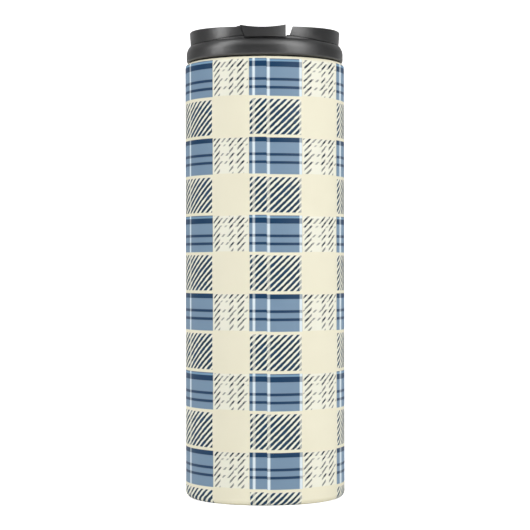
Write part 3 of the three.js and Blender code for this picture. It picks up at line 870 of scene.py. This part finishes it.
def slot_right(z):
    return SLOT_RIGHT + SLOT_RIGHT_SLOPE * (z - deck_top)


def wedge_bm(low, high, left, right, front, back):
    """A block whose sides lean with height, for the rim's slot and the tab in it."""
    bm = box_bm((-1, front, low), (1, back, high))
    for vert in bm.verts:
        vert.co.x = right(vert.co.z) if vert.co.x > 0 else left(vert.co.z)
    return bm


# ---------------------------------------------------------------- steel body

def printed_wall(material):
    """The outer wall, from the ring it stands on to the lip at the mouth."""
    outer, top = body_radius, body_top
    inner = outer - SHELL_WALL
    corners = [
        (foot_inner, 0, EDGE),
        (outer, 0, FOOT_CORNER),
        (outer, top, SHOULDER_CORNER * NEARLY),
        (lip_radius, top, 0),
        (lip_radius, top - SHELL_WALL, 0),
        (inner, top - SHELL_WALL, (SHOULDER_CORNER - SHELL_WALL) * NEARLY),
        (inner, SHELL_WALL, FOOT_CORNER - SHELL_WALL),
        (foot_inner, SHELL_WALL, EDGE),
    ]
    return finished("printed_wall", turned(corners), material)


def mouth_liner(material):
    """The liner's tube, with a flange on the lip and the mouth's thread inside."""
    flange = lip_radius - FIT
    corners = [
        (liner_bore, liner_low.z, 0),
        (liner_outer, liner_low.z, 0),
        (liner_outer, body_top - SHELL_WALL, 0),
        (flange, body_top - SHELL_WALL, 0),
        (flange, body_top, EDGE),
        (liner_bore, body_top, 0.25 * MM),
    ]
    return finished("mouth_liner", turned(corners), material, [("UNION", tool(thread_ridge(*LINER_THREAD)))])


def liner_cup(material):
    """The liner's round-cornered lower end."""
    floor_z, top = cup_low.z, cup_high.z
    corners = [
        (0, floor_z, 0),
        (liner_outer, floor_z, LINER_CORNER),
        (liner_outer, top, 0),
        (liner_bore, top, 0),
        (liner_bore, floor_z + SHELL_WALL, LINER_CORNER - SHELL_WALL),
        (0, floor_z + SHELL_WALL, 0),
    ]
    return finished("liner_cup", turned(corners), material)


def base_pan(material):
    """The pan that closes the outer wall, with the evacuation hole in its middle."""
    radius, top = pan_high.x, pan_high.z
    corners = [
        (EVACUATION_HOLE_RADIUS, top - BOTTOM_WALL, FINE_EDGE),
        (radius - BOTTOM_WALL, top - BOTTOM_WALL, 0.8 * MM),
        (radius - BOTTOM_WALL, 0, FINE_EDGE),
        (radius, 0, FINE_EDGE),
        (radius, top, 1.2 * MM),
        (EVACUATION_HOLE_RADIUS, top, FINE_EDGE),
    ]
    return finished("base_pan", turned(corners), material)


def base_disc(material):
    """A pressed disc with a raised centre, which hides the evacuation seal."""
    radius, low, high = disc_high.x, disc_low.z, disc_high.z
    step, crease = 0.35 * MM, 0.6 * MM
    inside, outside = radius * 0.68, radius * 0.72
    corners = [
        (0, low + step, 0),
        (inside, low + step, crease),
        (outside, low, crease),
        (radius, low, EDGE),
        (radius, high, EDGE),
        (outside, high, crease),
        (inside, high + step, crease),
        (0, high + step, 0),
    ]
    return finished("base_disc", turned(corners), material)


# ---------------------------------------------------------------- lid

def mouth_gasket(material):
    """The ring between the collar and the mouth's lip."""
    low, high, outer = gasket_low.z, gasket_high.z, gasket_high.x
    corners = [
        (collar_bore, low, BROAD_EDGE),
        (outer, low, BROAD_EDGE),
        (outer, high, 0.3 * MM),
        (collar_bore, high, 0.3 * MM),
    ]
    return finished("mouth_gasket", turned(corners), material)


def collar_ring(material):
    """The collar's side is rounded towards the rim, and its underside holds the gasket in a groove."""
    low = collar_low.z
    turn = math.acos((rim_foot - collar_radius + COLLAR_SHOULDER) / COLLAR_SHOULDER)
    reach = COLLAR_SHOULDER * math.tan(turn / 2)
    shoulder = low + COLLAR_SIDE
    corners = [
        (groove_radius, low, FINE_EDGE),
        (collar_radius, low, 1.0 * MM),
        (collar_radius, shoulder + reach, reach * NEARLY),
        (rim_foot, shoulder + COLLAR_SHOULDER * math.sin(turn), 0),
        (rim_foot, collar_seat, 0),
        (collar_bore, collar_seat, 0),
        (collar_bore, groove_top, FINE_EDGE),
        (groove_radius, groove_top, FINE_EDGE),
    ]
    return finished("collar_ring", turned(corners, LID_STEPS), material, parting_lines())


def frontness(point):
    """1 straight in front of the axis, falling to 0 at the sides and behind."""
    radius = math.hypot(point.x, point.y)
    return max(0.0, -point.y / radius) if radius else 0.0


def rim_blank():
    """The deck and the rim in one turning, with the rim lower at the front."""
    foot = deck_top + FIT
    joint = rim_foot - 0.03 * MM
    bm = turned([
        (0, deck_bottom, 0),
        (deck_radius, deck_bottom, EDGE),
        (deck_radius, deck_bottom + FIT, 0),
        (joint, deck_bottom + FIT, 0),
        (joint, deck_top, 0),
        (rim_foot, foot, 0),
        (rim_radius, rim_top, RIM_EDGE),
        (rim_inner, rim_top, RIM_EDGE),
        (rim_inner, deck_top, 0.5 * MM),
        (0, deck_top, 0),
    ], LID_STEPS)
    for vert in bm.verts:
        if vert.co.z > foot:
            vert.co.z -= RIM_DIP * frontness(vert.co) ** 2 * (vert.co.z - foot) / (rim_top - foot)
    return bm


def rear_platform():
    """The raised part of the deck behind the hinge, level with the cover."""
    bm = drum(rim_inner + FIT, deck_top - FIT, cover_top)
    trimmed(bm, (0, PLATFORM_FRONT, 0), (0, -1, 0))
    edge = [e for e in bm.edges
            if all(abs(v.co.y - PLATFORM_FRONT) < TOUCH and v.co.z > cover_top - TOUCH for v in e.verts)]
    return bevelled(bm, edge, 0.5 * MM)


def rear_pocket():
    """The hollow under the platform."""
    bm = drum(plug_inner, deck_bottom - FIT, cover_top - PLATFORM_WALL, 0.0, 1.0 * MM, 96)
    return trimmed(bm, (0, PLATFORM_FRONT + PLATFORM_WALL, 0), (0, -1, 0))


def hinge_ear(side):
    """A block with a round front that holds one end of the hinge pin."""
    from_x, to_x = sorted((side * ear_inner, side * ear_outer))
    rod = tool(rod_bm(EAR_RADIUS, from_x, to_x, ROD_CHAMFER))
    low = deck_top - FIT
    foot = box_bm((from_x, hinge.y - EAR_RADIUS, low), (to_x, hinge.y + EAR_RADIUS, hinge.z))
    back = box_bm((from_x, hinge.y, low), (to_x, PLATFORM_FRONT + FIT, cover_top))
    return worked(rod, [("UNION", tool(foot)), ("UNION", tool(back))])


def slot_cuts():
    """The slot's floor is level with the deck under the tab, and a sill beside it."""
    top, front, back = rim_top + FIT, -body_radius, -rim_inner + RIM_WALL
    step = TAB_RIGHT + FIT
    deep = wedge_bm(deck_top, top, slot_left, lambda z: step, front, back)
    shallow = wedge_bm(deck_top + SLOT_SILL, top, lambda z: 0, slot_right, front, back)
    return [("DIFFERENCE", tool(deep)), ("DIFFERENCE", tool(shallow))]


def parting_line(side):
    """A fine slit that climbs round the lid from the collar's shoulder to the slot."""
    bm = bmesh.new()
    inner, outer = rim_foot - PARTING_DEPTH, collar_radius
    middle, half = deck_top - PARTING_DROP, PARTING_HEIGHT / 2
    section = (inner, -half), (outer, -half), (outer, half), (inner, half)
    corners = [bm.verts.new((0, -reach, middle + lift)) for reach, lift in section]
    for pair in zip(corners, corners[1:] + corners[:1]):
        bm.edges.new(pair)
    tipped(bm, "Z", ORIGIN, side * math.radians(PARTING_START))
    swept(bm, side * math.radians(PARTING_END - PARTING_START), PARTING_STEPS)
    for vert in bm.verts:
        forward = frontness(vert.co) * rim_foot
        vert.co.z += PARTING_CLIMB * max(0.0, (forward - PARTING_FOOT) / (rim_foot - PARTING_FOOT))
    return tool(bm)


def parting_lines():
    return [("DIFFERENCE", parting_line(side)) for side in (-1, 1)]


def drink_plug(grow, low, high, rounding=0.0):
    """Fits the drinking hole, grown by so much all round."""
    return slot_bm(DRINK_HOLE_HALF_LENGTH + grow, DRINK_HOLE_HALF_WIDTH + grow, DRINK_HOLE_Y, low, high,
                   rounding, 48)


def vent_plug(grow, low, high, rounding=0.0):
    """Fits the vent hole, grown by so much all round."""
    radius = VENT_HOLE_RADIUS + grow
    return slot_bm(radius, radius, VENT_HOLE_Y, low, high, rounding, 32)


def rim_and_deck(material):
    """The lid's upper moulding: rim, deck, hinge ears and the two tubes that pass through the plug."""
    tube_bottom = top_low.z
    hole_reach = ear_outer - EAR_CAP
    return finished("rim_and_deck", rim_blank(), material, parting_lines() + slot_cuts() + [
        ("UNION", tool(rear_platform())),
        ("UNION", hinge_ear(1)),
        ("UNION", hinge_ear(-1)),
        ("UNION", tool(drink_plug(TUBE_WALL, tube_bottom, deck_top - FIT))),
        ("UNION", tool(vent_plug(TUBE_WALL, tube_bottom, deck_top - FIT))),
        ("DIFFERENCE", tool(rear_pocket())),
        ("DIFFERENCE", tool(rod_bm(PIN_HOLE_RADIUS, -hole_reach, hole_reach))),
        ("DIFFERENCE", tool(drink_plug(0, tube_bottom - FIT, deck_top + FIT))),
        ("DIFFERENCE", tool(vent_plug(0, tube_bottom - FIT, deck_top + FIT))),
    ])


def plug_body(material):
    """The threaded tube that screws into the mouth."""
    low, high, inner, outer = plug_low.z, plug_high.z, plug_inner, plug_radius
    corners = [
        (inner, low, BROAD_EDGE),
        (outer, low, 0.6 * MM),
        (outer, high, EDGE),
        (inner, high, EDGE),
    ]
    return finished("plug_body", turned(corners), material, [("UNION", tool(thread_ridge(*PLUG_THREAD)))])


def plug_plate(material):
    """Closes the plug's lower end, with the two holes through it."""
    low, high, radius = plate_low.z, plate_high.z, plate_high.x
    blank = drum(radius, low, high, BROAD_EDGE, EDGE, BODY_STEPS)
    return finished("plug_plate", blank, material, [
        ("DIFFERENCE", tool(drink_plug(0, low - FIT, high + FIT))),
        ("DIFFERENCE", tool(vent_plug(0, low - FIT, high + FIT))),
    ])


def hinge_rod(material):
    """The steel pin that the cover swings on."""
    return finished("hinge_rod", rod_bm(PIN_RADIUS, pin_low.x, pin_high.x, ROD_CHAMFER), material)


# ---------------------------------------------------------------- flip cover

def inside_round(bm, radius, low, high):
    """What of a block lies inside an upright round."""
    return worked(tool(bm), [("INTERSECT", tool(drum(radius, low, high)))])


def cover_tab():
    """The block that fills the slot's left side. Its top is hollow, and its ledge stands behind the rim."""
    low, high = deck_top + FIT, tab_top
    block = wedge_bm(low, high, lambda z: slot_left(z) + FIT, lambda z: TAB_RIGHT, -body_radius,
                     -rim_radius + TAB_DEPTH)
    tab = inside_round(block, rim_radius + FIT, low - FIT, high + FIT)
    left = slot_left(high) + FIT
    ledge = box_bm((left - TAB_LEDGE, -body_radius, low),
                   (-SLOT_LEFT + FIT, -rim_radius + TAB_DEPTH + TAB_LEDGE_DEPTH, high), EDGE)
    half_width = (TAB_RIGHT - left) / 2
    radius = (half_width ** 2 + TAB_HOLLOW ** 2) / (2 * TAB_HOLLOW)
    hollow = drum(radius, -body_radius, body_radius, steps=360)
    tipped(hollow, "X", (TAB_RIGHT - half_width, 0, high + radius - TAB_HOLLOW))
    return worked(tab, [
        ("UNION", inside_round(ledge, cover_radius, low - FIT, high + FIT)),
        ("DIFFERENCE", tool(hollow)),
    ])


def thumb_dish():
    """A shallow round hollow in the lever's top."""
    bm = bmesh.new()
    bmesh.ops.create_uvsphere(bm, u_segments=96, v_segments=96, radius=DISH_RADIUS)
    bmesh.ops.translate(bm, verts=bm.verts[:], vec=(0, DISH_Y, cover_top + DISH_RADIUS - DISH_DEPTH))
    return tool(bm)


def cover_lever(material):
    """A lever as wide as its hinge barrel, with the tab at its front end."""
    blank = box_bm((-LEVER_HALF_WIDTH, -body_radius, cover_underside),
                   (LEVER_HALF_WIDTH, hinge.y, cover_top), LEVER_EDGE)
    return finished("cover_lever", blank, material, [
        ("INTERSECT", tool(drum(cover_radius, cover_underside, cover_top, EDGE, LEVER_EDGE))),
        ("UNION", tool(rod_bm(BARREL_RADIUS, -LEVER_HALF_WIDTH, LEVER_HALF_WIDTH, ROD_CHAMFER))),
        ("UNION", cover_tab()),
        ("DIFFERENCE", thumb_dish()),
        ("DIFFERENCE", tool(rod_bm(PIN_HOLE_RADIUS, -ear_outer, ear_outer))),
    ])


def stopper(name, shape, low, high, material):
    """A silicone stopper: a round-edged flange with a plug that enters the passage."""
    flange = shape(SEAL_FLANGE, seal_low, high, SEAL_EDGE)
    plug = shape(-SEAL_PLUG_GAP, low, seal_low + FIT, EDGE)
    return finished(name, flange, material, [("UNION", tool(plug))])


# ---------------------------------------------------------------- everything in its place

camera()
studio()
floor()

coat = printed_coat()
liner_steel = turned_steel("liner_steel", screen(214, 214, 212), screen(196, 197, 198), 5000.0, 0.2, 0.34)
base_steel = turned_steel("base_steel", screen(206, 207, 208), screen(184, 186, 188), 3200.0, 0.3, 0.42)
pin_steel = turned_steel("pin_steel", screen(198, 199, 200), screen(176, 178, 180), 9000.0, 0.25, 0.38)
collar_plastic = black_moulding("collar_plastic", 3600.0, 0.03 * MM, 0.36, 0.44)
rim_plastic = black_moulding("rim_plastic", 3600.0, 0.03 * MM, 0.36, 0.44)
plug_plastic = black_moulding("plug_plastic", 2400.0, 0.015 * MM, 0.3, 0.4)
silicone = soft_silicone()

# Each new piece, the body it moves with, its finish's slot, and the node it stands for.
PLACED = [
    (printed_wall(coat), "flask", "printed_steel", "outer_shell"),
    (mouth_liner(liner_steel), "flask", "bare_steel", "inner_liner"),
    (liner_cup(liner_steel), "flask", "bare_steel", "liner_bottom"),
    (base_pan(base_steel), "flask", "bare_steel", "outer_bottom"),
    (base_disc(base_steel), "flask", "bare_steel", "base_cover"),
    (mouth_gasket(silicone), "gasket", "grey_silicone", "main_gasket"),
    (collar_ring(collar_plastic), "lid", "black_plastic", "lid_collar"),
    (rim_and_deck(rim_plastic), "lid", "black_plastic", "lid_top"),
    (plug_body(plug_plastic), "lid", "black_plastic", "lid_plug"),
    (plug_plate(plug_plastic), "lid", "black_plastic", "lid_underplate"),
    (hinge_rod(pin_steel), "lid", "bare_steel", "hinge_pin"),
    (cover_lever(rim_plastic), "cover", "black_plastic", "flip_cover"),
    (stopper("drink_stopper", drink_plug, sip_low.z, sip_high.z, silicone),
     "cover", "grey_silicone", "sip_seal"),
    (stopper("vent_stopper", vent_plug, vent_low.z, vent_high.z, silicone),
     "cover", "grey_silicone", "vent_seal"),
]
for piece, body, slot, node in PLACED:
    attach(piece, body)
    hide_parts(node)

# Nodes whose own shape stays, with their finish.
KEPT = {
    "evacuation_seal": fused_glass(),
    "getter_clip": base_steel,
    "getter_pellet": sintered_getter(),
    "radiation_foil": crinkled_foil(),
    "lid_insulation": closed_cell_foam(),
    "drink_tube_seal": silicone,
    "vent_tube_seal": silicone,
}
for node, material in KEPT.items():
    for material_slot in frame["nodes"][node].material_slots:
        material_slot.material = material

scene.view_settings.view_transform = "Standard"
